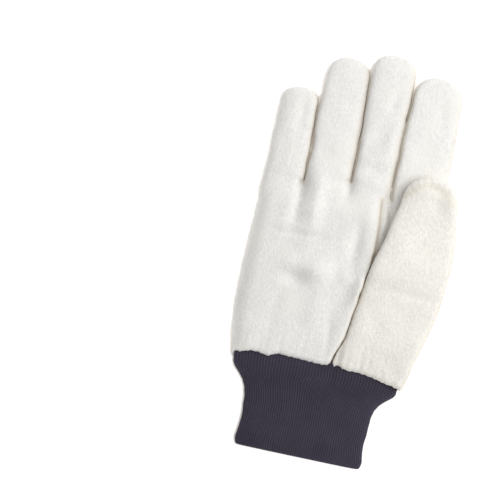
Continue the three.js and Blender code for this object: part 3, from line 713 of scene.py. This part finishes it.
# %% Sculpt the thumb
THUMB_FOLDS = [
    (42, 114.5, 18, 3.2, 3, -0.9),
    (41, 70, 8, 5, 20, -0.9),
    (46, 150, 9, 12, 20, -0.6),
    (30, 140, 5, 12, 0, 0.5),
    (24, 92, 6, 9, -20, -0.6),
    (7.2, 67, 2, 6, 10, -1.8),
    (57, 176, 6, 7, 0, 1.5),
    (46, 174.5, 6.5, 4.6, 0, -1),
    (48.5, 182, 9, 3, 18, -1),
    (35, 181, 4.5, 2.6, -24, 0.8),
    (58, 178, 2.6, 6, -20, -0.7),
]


TIP_MIDDLE = (42, 168)  # the middle of the thumb's round end


def thumb_seam_z(y):
    """How high the seam between the thumb's two halves lies."""
    return curve(THUMB_LOW, y) + THUMB_SEAM_SHARE * curve(THUMB_THICK, y)


def sculpt_thumb():
    """Gives the thumb its folds, seam and gathered tip, and returns seam and painted-shade distances."""
    points, normals = read_points(thumb)
    upward, _, sideways = facing(normals)
    points[:, 2] += upward * fold_heights(points, THUMB_FOLDS)
    beside = np.abs(points[:, 2] - thumb_seam_z(points[:, 1]))
    along = points[:, 1] + 0.8 * points[:, 0]
    points += normals * (sideways * seam_valley(beside, along, 1.2, 0.5, 7))[:, None]
    from_middle = points[:, :2] - TIP_MIDDLE
    rim = np.hypot(*from_middle.T)
    around = np.arctan2(from_middle[:, 1], from_middle[:, 0]) * 20
    tip_pucker = 0.3 * pucker(around, 4.6, 3) * swell(rim - 18, 3) * upward
    tip_pucker *= smooth((points[:, 1] - 172) / 6)
    uneven = 0.4 * cloth_noise(points, 30, 15.0) + 0.16 * cloth_noise(points, 11, 19.0)
    uneven += 0.08 * cloth_noise(points * [1, 0.5, 1], 5.5, 12.0) + 0.06 * cloth_noise(points, 3.2, 17.0)
    points += normals * (uneven + tip_pucker)[:, None]
    gather(points, normals)
    fit_mouth(points)
    write_points(thumb, points)
    seam = np.where(sideways > 0.2, np.minimum(beside, FAR), FAR)
    # Painted shade: a tan band round the thumb's tip, and a tan on the flanks that turn to the thumb's
    # side.
    tip_shade = 1.8 + 0.6 * np.abs(rim - 16) + 8 * (1 - smooth((points[:, 1] - 168) / 7))
    shaded = np.minimum(flank_shade(normals), tip_shade)
    return np.where(normals[:, 2] > 0, np.minimum(seam, shaded), seam)


thumb_seam_and_shade_distance = sculpt_thumb()
print("thumb sculpted, top at", round(read_points(thumb)[0][:, 2].max(), 1), "mm")

# %% [markdown]
# The forms are now cut into the panels that the real glove is sewn from. Each panel is a copy
# of its form that keeps only its own faces, and Solidify gives it the canvas's thickness,
# inwards. Panels that were modelled one by one would need their edges matched at every seam,
# and these meet by themselves.

# %% Cut the panels
CANVAS_THICK = 1.3 * MM


def keep_attribute(obj, values, name):
    layer = obj.data.attributes.new(name, "FLOAT", "POINT")
    layer.data.foreach_set("value", np.asarray(values, np.float32))


keep_attribute(hand, hand_seam_and_shade_distance, "seam")
keep_attribute(thumb, thumb_seam_and_shade_distance, "seam")


def cut_panel(form, name, belongs):
    """A copy of the form's faces for which belongs(x, y, z in mm) is true."""
    bm = bmesh.new()
    bm.from_mesh(form.data)
    outside = []
    for face in bm.faces:
        at = face.calc_center_median() / MM
        if not belongs(at.x, at.y - HEM_Y, at.z):
            outside.append(face)
    bmesh.ops.delete(bm, geom=outside, context="FACES")
    panel = add_object(name, bm)
    panel.data.shade_smooth()
    cloth = panel.modifiers.new("cloth", "SOLIDIFY")
    cloth.thickness = CANVAS_THICK
    cloth.offset = -1
    return panel


def seam_x(line, y):
    """Where a seam of the back is at y."""
    rows = sorted((place, x) for x, place in line)
    return float(np.interp(y, [r[0] for r in rows], [r[1] for r in rows]))


def strip(index):
    """Whether a point is on the back strip of that number, counted from the little finger."""
    def belongs(x, y, z):
        if z > SEAM_Z:
            return False
        after = index == 0 or x > seam_x(BACK_SEAMS[index - 1], y)
        before = index == 3 or x <= seam_x(BACK_SEAMS[index], y)
        return after and before
    return belongs


def above_thumb_seam(x, y, z):
    return z > thumb_seam_z(y)


def below_thumb_seam(x, y, z):
    return z <= thumb_seam_z(y)


panels = {"palm_panel": cut_panel(hand, "palm_cloth", lambda x, y, z: z > SEAM_Z)}
for index, name in enumerate(FINGERS):
    panels["back_strip_" + name] = cut_panel(hand, "back_cloth_" + name, strip(index))
panels["thumb_front"] = cut_panel(thumb, "thumb_front_cloth", above_thumb_seam)
panels["thumb_back"] = cut_panel(thumb, "thumb_back_cloth", below_thumb_seam)
bpy.data.objects.remove(hand)
bpy.data.objects.remove(thumb)
print("panels:", {node: len(panel.data.polygons) for node, panel in panels.items()})

# %% [markdown]
# The wrist is a tube of rib knit, folded double at the hem, with narrow ribs that run up it. The
# tube's rings go down the inside, round the fold and up the outside, and every rib is a wave of
# four points. At the top the knit spreads to the canvas's width, rises to meet the thumb and
# goes in behind the canvas. An Array of one rib would be as quick, but its ribs couldn't spread
# or wander.

# %% The knit wrist
RIBS = 116
RIB_POINTS = 4
RIB_HEIGHT = 0.2
KNIT_DOUBLE = 2.0    # the folded knit's thickness
KNIT_TOP = 65.0
WRIST_LEFT = [
    (0, -45.2), (2.5, -46.0), (8, -45.8), (16, -45.0), (26, -45.6), (34, -46.6),
    (39, -48.4), (43, -51.0), (46.5, -54.2), (50, -56.8), (53, -57.6), (66, -57.0),
]
WRIST_RIGHT = [
    (0, 34.6), (2.5, 35.4), (8, 35.0), (14, 34.4), (22, 35.0), (30, 35.4), (36, 36.2),
    (40, 37.8), (43.5, 40.4), (47, 44.2), (50, 47.2), (53, 47.8), (66, 47.0),
]
WRIST_LOW = [(0, 0.6), (3, 0.0), (5, 0.0), (38, 0.0), (40, 0.0), (46, 0.6), (52, 1.6), (66, 1.8)]
WRIST_HIGH = [
    (0, 11.6), (3, 12.8), (20, 12.6), (36, 11.8), (43, 12.8), (50, 14.6), (60, 15.2), (66, 15.4),
]


def wrist_outline(y, inset, count):
    """An outline of the wrist with its points at even distances."""
    turn = np.linspace(0, math.tau, 1441)
    left, right = curve(WRIST_LEFT, y) + inset, curve(WRIST_RIGHT, y) - inset
    low, high = max(curve(WRIST_LOW, y), 0) + inset, curve(WRIST_HIGH, y) - inset
    widest = mix(low, high, 0.42)
    spread = smooth((y - 44) / 10)
    above = turn <= math.pi
    side, up = rounded_square(turn, np.where(above, mix(3.0, 5.0, spread), UNDERSIDE))
    x = (left + right) / 2 + (right - left) / 2 * side
    z = widest + np.where(above, high - widest, low - widest) * up
    z += 1.5 * spread * smooth((x - 4) / 6) * np.clip((z - widest) / (high - widest), 0, 1)
    run = np.concatenate([[0], np.cumsum(np.hypot(np.diff(x), np.diff(z)))])
    at = np.arange(count) / count * run[-1]
    x, z = np.interp(at, run, x), np.interp(at, run, z)
    across, rise = np.roll(x, 1) - np.roll(x, -1), np.roll(z, -1) - np.roll(z, 1)
    outward = np.stack([rise, across], axis=1)
    return x, z, outward / np.linalg.norm(outward, axis=1)[:, None]


def knit_tube():
    """The rings' points, and each ring's (y, inset): down the inside, round the hem and up."""
    count = RIBS * RIB_POINTS
    inside = [(y, KNIT_DOUBLE) for y in np.linspace(KNIT_TOP, 1.0, 40)]
    fold = np.linspace(0, math.pi, 7)[1:-1]
    hem = [(mix(1.0, 0.0, math.sin(t)), mix(KNIT_DOUBLE, 0.0, (1 - math.cos(t)) / 2)) for t in fold]
    outside = [(y, 0.0) for y in np.linspace(1.0, KNIT_TOP, 92)]
    path = inside + hem + outside
    points = np.zeros((len(path), count, 3))
    steps = np.arange(count)
    for ring, (y, inset) in enumerate(path):
        x, z, outward = wrist_outline(y, inset, count)
        rib = RIB_HEIGHT * np.cos(steps / RIB_POINTS * math.tau)
        wander = 0.25 * math.sin(y / 9.0) + 0.15 * np.sin(steps / count * math.tau * 9 + y / 14.0)
        shift = (rib - RIB_HEIGHT) * (0.35 + 0.65 * (inset < 0.5)) + 0.3 * wander * (y > 3)
        x, z = x + outward[:, 0] * shift, np.maximum(z + outward[:, 1] * shift, 0)
        points[ring] = np.stack([x, np.full(count, y), z], axis=1)
    return points, path


knit_points, knit_path = knit_tube()
knit_bm = tube(to_frame(knit_points), closed=False)
ring_layer = knit_bm.verts.layers.int["ring"]
step_layer = knit_bm.verts.layers.int["step"]
ends = [e for e in knit_bm.edges if e.is_boundary]
bmesh.ops.bridge_loops(knit_bm, edges=ends)
bmesh.ops.recalc_face_normals(knit_bm, faces=knit_bm.faces[:])
print("knit wrist:", len(knit_bm.faces), "faces,", RIBS, "ribs")

# %% [markdown]
# The knit's stitches have to follow its ribs, wherever they spread. So the UV map is laid from
# the rings and steps that the tube was made of: u counts the ribs, and v is the height in
# millimetres. An unwrap of the finished tube would cut it open at a place of its own choice.

# %% Lay the knit's UV map along its ribs
heights = [y for y, _ in knit_path]
knit_uv = knit_bm.loops.layers.uv.new("ribs")
for face in knit_bm.faces:
    steps = [loop.vert[step_layer] for loop in face.loops]
    wraps = max(steps) - min(steps) > 2
    for loop, step in zip(face.loops, steps):
        turn = step + RIBS * RIB_POINTS if wraps and step < RIB_POINTS else step
        loop[knit_uv].uv = (turn / RIB_POINTS, heights[loop.vert[ring_layer]])
knit = add_object("knit_wrist", knit_bm)
knit.data.shade_smooth()
panels["knit_cuff"] = knit

# %% [markdown]
# Materials are written as sums. A small class wraps a node's output, so that `a * b + c` adds
# the Math nodes that it needs, and `node` adds any other node with its settings and inputs.

# %% A class for shader sums
class Wire:
    """A value in a material's node tree."""

    def __init__(self, tree, socket):
        self.tree, self.socket = tree, socket

    def node(self, kind, settings=None, **inputs):
        """Adds a node. An input is given by its name, or by its number as i0, i1 and so on."""
        made = self.tree.nodes.new(kind)
        for key, value in (settings or {}).items():
            setattr(made, key, value)
        for key, value in inputs.items():
            numbered = key[0] == "i" and key[1:].isdigit()
            spot = made.inputs[int(key[1:]) if numbered else key.replace("_", " ")]
            if isinstance(value, Wire):
                self.tree.links.new(value.socket, spot)
            else:
                spot.default_value = value
        return made

    def math(self, operation, a, b=0.0):
        made = self.node("ShaderNodeMath", {"operation": operation}, i0=a, i1=b)
        return Wire(self.tree, made.outputs[0])

    def __add__(self, other):
        return self.math("ADD", self, other)

    def __radd__(self, other):
        return self.math("ADD", other, self)

    def __sub__(self, other):
        return self.math("SUBTRACT", self, other)

    def __rsub__(self, other):
        return self.math("SUBTRACT", other, self)

    def __mul__(self, other):
        return self.math("MULTIPLY", self, other)

    def __rmul__(self, other):
        return self.math("MULTIPLY", other, self)

    def __truediv__(self, other):
        return self.math("DIVIDE", self, other)

    def __rtruediv__(self, other):
        return self.math("DIVIDE", other, self)

    def sin(self):
        return self.math("SINE", self)

    def fract(self):
        return self.math("FRACT", self)

    def abs(self):
        return self.math("ABSOLUTE", self)

    def step(self, start, end):
        """0 below start and 1 past end, with soft ends."""
        settings = {"interpolation_type": "SMOOTHSTEP"}
        made = self.node("ShaderNodeMapRange", settings, Value=self, From_Min=start, From_Max=end)
        return Wire(self.tree, made.outputs[0])

    def noise(self, scale, detail=2.0, rough=0.5):
        made = self.node("ShaderNodeTexNoise", Vector=self, Scale=scale, Detail=detail, Roughness=rough)
        return Wire(self.tree, made.outputs[0])

    def blend(self, first, second):
        """Mixes two colours by this value."""
        made = self.node("ShaderNodeMix", {"data_type": "RGBA"}, i0=self)
        for place, colour in ((6, first), (7, second)):
            if isinstance(colour, Wire):
                self.tree.links.new(colour.socket, made.inputs[place])
            else:
                made.inputs[place].default_value = (*colour, 1)
        return Wire(self.tree, made.outputs[2])

    def xyz(self):
        made = self.node("ShaderNodeSeparateXYZ", Vector=self)
        return [Wire(self.tree, out) for out in made.outputs]


def object_place(tree):
    """Each point's place on the piece, in metres."""
    return Wire(tree, tree.nodes.new("ShaderNodeTexCoord").outputs["Object"])


def attribute(tree, name):
    """A number that is stored on the mesh's points."""
    reader = Wire(tree, None).node("ShaderNodeAttribute", {"attribute_name": name})
    return Wire(tree, reader.outputs["Fac"])


# %% [markdown]
# Both cloths are matt, with a soft sheen where the light grazes their fuzz. What is the same
# all over a piece, such as its roughness, is set on the shader itself, and only the colour and
# the bump come from nodes.

# %% Start and finish a cloth
def new_material(name, rough, sheen):
    """A matt cloth with its shader."""
    material = bpy.data.materials.new(name)
    material.use_nodes = True
    shader = material.node_tree.nodes["Principled BSDF"]
    shader.inputs["Roughness"].default_value = rough
    shader.inputs["Specular IOR Level"].default_value = 0.2
    shader.inputs["Sheen Weight"].default_value = sheen
    shader.inputs["Sheen Roughness"].default_value = 0.6
    return material, shader


def finish_material(material, shader, colour, height, distance):
    """Links a colour, and a height whose 1 stands for the distance in metres."""
    tree = material.node_tree
    tree.links.new(colour.socket, shader.inputs["Base Color"])
    bump = height.node("ShaderNodeBump", Height=height, Distance=distance, Strength=1.0)
    tree.links.new(bump.outputs["Normal"], shader.inputs["Normal"])


# %% [markdown]
# Cotton canvas is a plain weave with a brushed nap: close up it is a fine grid under short
# fuzz, and from a step away it is a soft mottle. The nap is noise at three sizes, and the weave
# is two crossed waves 0.8 mm apart. A picture of cloth would do too, but it repeats, and it has
# to be laid out on every panel. Down in its seams the cloth turns a darker tan, partly dirt and
# partly painted shade; where two fingers meet, beside the thumb's groove, round the thumb's tip
# and on the sides that turn away, the same tan is painted shade only.

# %% Canvas
THREAD = 0.8 * MM
# Tans for dirt and painted shade in the seams, and for painted shade along its lines and bands.
NEAR_SEAM_DIRT_AND_SHADE = (0.90, 0.80, 0.64)
DEEP_SEAM_DIRT_AND_SHADE = (0.62, 0.53, 0.42)


def tinted(tint, colour):
    return [share * channel for share, channel in zip(tint, colour)]


def canvas_material(name, light, shade, warm, grain):
    """Canvas from its light, shaded and warm colours, and how strong its mottle is."""
    material, shader = new_material(name, 0.95, 0.15)
    tree = material.node_tree
    place = object_place(tree)
    x, y, _ = place.xyz()
    mapping = {"Vector": place, "Scale": (1.0, 0.6, 1.0)}
    stretched = place.node("ShaderNodeMapping", {"vector_type": "POINT"}, **mapping)
    slubs = Wire(tree, stretched.outputs[0]).noise(640.0, 3.0, 0.6)
    speck = place.noise(1500.0, 2.0, 0.65)
    cloud = place.noise(45.0, 3.0, 0.55)
    threads = (x * (math.tau / THREAD)).sin() * (y * (math.tau / THREAD)).sin()
    # The seam attribute holds distances from the seams and from the lines and bands of painted shade.
    seam = attribute(tree, "seam")
    deep_seam_dirt_and_shade = 1 - seam.step(0.1, 1.3)
    near_seam_dirt_and_shade = 1 - seam.step(0.3, 4.5)
    mottle = (slubs - 0.5) * (1.2 * grain) + (speck - 0.5) * (1.6 * grain)
    mottle = mottle + (cloud - 0.5) * 0.5 + 0.55
    colour = mottle.step(0.0, 1.0).blend(shade, light)
    colour = (cloud.step(0.45, 0.75) * 0.6).blend(colour, warm)
    # A tan that is partly dirt and partly painted shade in the seams, and painted shade elsewhere.
    colour = (near_seam_dirt_and_shade * 0.5).blend(colour, tinted(NEAR_SEAM_DIRT_AND_SHADE, shade))
    colour = (deep_seam_dirt_and_shade * 0.4).blend(colour, tinted(DEEP_SEAM_DIRT_AND_SHADE, shade))
    height = slubs * 0.6 + speck * 0.35 + threads * 0.08 - deep_seam_dirt_and_shade * 0.8
    finish_material(material, shader, colour, height, 0.0006)
    return material


# name: light, shade, warm, strength of the mottle
CANVASES = {
    "palm_canvas": ((0.878, 0.866, 0.835), (0.712, 0.70, 0.675), (0.818, 0.795, 0.75), 0.8),
    # The thumb's canvas is creamier, its own tone, and paler, which is painted light for the light that
    # falls on the thumb.
    "thumb_canvas": ((0.905, 0.88, 0.825), (0.74, 0.715, 0.665), (0.86, 0.83, 0.77), 1.1),
    "back_canvas": ((0.87, 0.87, 0.855), (0.74, 0.74, 0.725), (0.83, 0.82, 0.795), 0.7),
}
canvases = {name: canvas_material(name, *tones) for name, tones in CANVASES.items()}
print("canvas materials:", list(canvases))

# %% [markdown]
# Rib knit is rows of small loops. Each rib is a column of V-shaped stitches, drawn here from
# the UV map: u counts the ribs and v runs up them in millimetres. Loops of real yarn would need
# millions of faces, and at this size nobody would see them. The yarn is dark navy with a slight
# violet cast, and its ribs have a painted highlight on their crests and painted shade between.

# %% Rib knit
STITCH = 1.25        # the height of a stitch in millimetres


def knit_material():
    """Dark navy knit whose stitches follow the UV map."""
    material, shader = new_material("navy_rib_knit", 0.9, 0.25)
    shader.inputs["Sheen Tint"].default_value = (0.35, 0.33, 0.5, 1)
    tree = material.node_tree
    place = object_place(tree)
    u, v, _ = Wire(tree, place.node("ShaderNodeUVMap", {"uv_map": "ribs"}).outputs[0]).xyz()
    arms = ((u + 0.5).fract() - 0.5).abs() * 2.0
    stitch = ((v / STITCH - arms * 0.75) * math.tau).sin() * 0.5 + 0.5
    crest = 1 - arms
    fuzz = place.noise(1700.0, 2.0, 0.7)
    fade = place.noise(60.0, 3.0, 0.6)
    # crest paints the ribs' crests paler, a painted highlight, and the grooves darker, painted shade.
    tone = crest * 0.3 + stitch * 0.2 + (fuzz - 0.5) * 0.8 + (fade - 0.5) * 0.4 + 0.15
    colour = tone.step(0.0, 0.9).blend((0.024, 0.020, 0.031), (0.058, 0.050, 0.074))
    height = stitch * 0.4 + crest * 0.3 + fuzz * 0.5
    finish_material(material, shader, colour, height, 0.0003)
    return material


navy_knit = knit_material()
print("knit material:", navy_knit.name)

# %% [markdown]
# Each panel now takes the place of its CAD node, rides on the one body of the glove, and gets
# its cloth and its material slot. The CAD node stays, hidden, for the glove's mass and contacts.

# %% Give each panel its cloth and its node
FINISH = {
    "palm_panel": canvases["palm_canvas"],
    "thumb_front": canvases["thumb_canvas"],
    "thumb_back": canvases["thumb_canvas"],
    "knit_cuff": navy_knit,
}
for node, panel in panels.items():
    panel.data.materials.clear()
    panel.data.materials.append(FINISH.get(node, canvases["back_canvas"]))
    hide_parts(node)
    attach(panel, "root")
print("pieces:", [panel.name for panel in panels.values()])

# %% [markdown]
# The glove is seen straight from above, leaning a little to the right, on a white table. The
# table glows, which is painted light, since no lamp is under it. It glows brightest from about 2
# to 5 mm off the glove, which washes out the glove's shadow, and right beside the glove the glow
# is only a dim warm tone, painted shade that keeps the narrow gaps between the fingers dark and
# rims the glove. For that the table has a fine grid under the glove, and each of its points
# knows how far it is from the glove. Lamps under a sheet of glass could give the glow too, but
# they take far longer to render.

# %% The table
GRID_HALF = 0.145    # half the fine grid's length
GRID_SHARE = 0.55    # its width as a share of its length
BELOW = 0.1 * MM     # so that the table and the glove's underside don't share a plane


def table_mesh():
    """A fine grid under the glove, with a wide rim that runs out to the horizon."""
    bm = bmesh.new()
    bmesh.ops.create_grid(bm, x_segments=130, y_segments=240, size=GRID_HALF)
    bmesh.ops.scale(bm, vec=(GRID_SHARE, 1, 1), verts=bm.verts[:])
    bmesh.ops.translate(bm, vec=(0, 0, -BELOW), verts=bm.verts[:])
    rim = [edge for edge in bm.edges if edge.is_boundary]
    outer = bmesh.ops.extrude_edge_only(bm, edges=rim)["geom"]
    outer = [item for item in outer if isinstance(item, bmesh.types.BMVert)]
    bmesh.ops.scale(bm, vec=(36, 20, 1), verts=outer)
    bmesh.ops.recalc_face_normals(bm, faces=bm.faces[:])
    return bm


table = add_object("table", table_mesh())
footprint = KDTree(sum(len(panel.data.vertices) for panel in panels.values()))
for panel in panels.values():
    for vert in panel.data.vertices:
        footprint.insert((vert.co.x, vert.co.y, 0), 0)
footprint.balance()
clear_of_glove = [footprint.find(vert.co)[2] / MM for vert in table.data.vertices]
keep_attribute(table, clear_of_glove, "clear")
print("table points:", len(clear_of_glove))

# %% The table's white, with painted glow and painted shade
# Painted shade: the dim warm tone that the table shows right beside the glove.
PAINTED_SHADE_BESIDE_GLOVE = (0.23, 0.195, 0.155)
paper = bpy.data.materials.new("white_paper_painted_glow")
paper.use_nodes = True
paper_shader = paper.node_tree.nodes["Principled BSDF"]
paper_shader.inputs["Base Color"].default_value = (0.96, 0.96, 0.96, 1)
paper_shader.inputs["Roughness"].default_value = 1.0
paper_shader.inputs["Specular IOR Level"].default_value = 0.0
paper_shader.inputs["Emission Color"].default_value = (1, 1, 1, 1)
paper_shader.inputs["Emission Strength"].default_value = 0.8
clear = attribute(paper.node_tree, "clear")
# Painted shade within 0.4 mm of the glove, painted light at full glow from 1.8 to 5 mm, dimmer past 30
# mm.
glow_and_painted_shade = (clear.step(0.4, 1.8) * (1 - 0.45 * clear.step(5.0, 30.0))).blend(PAINTED_SHADE_BESIDE_GLOVE, (1, 1, 1))
paper.node_tree.links.new(glow_and_painted_shade.socket, paper_shader.inputs["Emission Color"])
table.data.materials.append(paper)

# %% [markdown]
# A large square lamp on the upper right draws the folds softly, and the white room fills their
# shadows. A small lamp would draw them harder than cloth shows them in a studio.

# %% Lamp and room
LAMP_PLACE = Vector((0.9, 0.45, 1.05))
LAMP_SIZE, LAMP_POWER = 1.4, 18.0
ROOM_POWER = 0.58
light = bpy.data.lights.new("key", "AREA")
light.size, light.energy = LAMP_SIZE, LAMP_POWER
lamp = bpy.data.objects.new("key", light)
lamp.location = LAMP_PLACE
lamp.rotation_euler = (-LAMP_PLACE).to_track_quat("-Z", "Y").to_euler()
bpy.context.scene.collection.objects.link(lamp)
world = bpy.data.worlds.new("room")
bpy.context.scene.world = world
world.use_nodes = True
room = world.node_tree.nodes["Background"]
room.inputs["Color"].default_value = (1, 1, 1, 1)
room.inputs["Strength"].default_value = ROOM_POWER
print("lamp at", tuple(round(v, 2) for v in lamp.location), "with", light.energy, "watts")

# %% [markdown]
# The camera looks straight down from 1.6 m, with a long lens, so that the fingers don't lean
# apart. It is turned by 12 degrees, and the glove lies right of the middle of the picture. The
# Standard view keeps white cloth white, where a filmic one would make it grey.

# %% Camera
LEAN = math.radians(12)
MIDDLE = (-0.0615, -0.0090)
DISTANCE = 1.6
WIDTH = 0.3155       # how much of the table the picture shows, from side to side
GLOVE_HEIGHT = 0.012
camera_data = bpy.data.cameras.new("camera")
camera_data.lens = camera_data.sensor_width * DISTANCE / WIDTH
camera = bpy.data.objects.new("camera", camera_data)
camera.location = (*MIDDLE, DISTANCE + GLOVE_HEIGHT)
camera.rotation_euler = (0, 0, LEAN)
bpy.context.scene.collection.objects.link(camera)
bpy.context.scene.camera = camera
bpy.context.scene.view_settings.view_transform = "Standard"
print("lens:", round(camera_data.lens, 1), "mm")
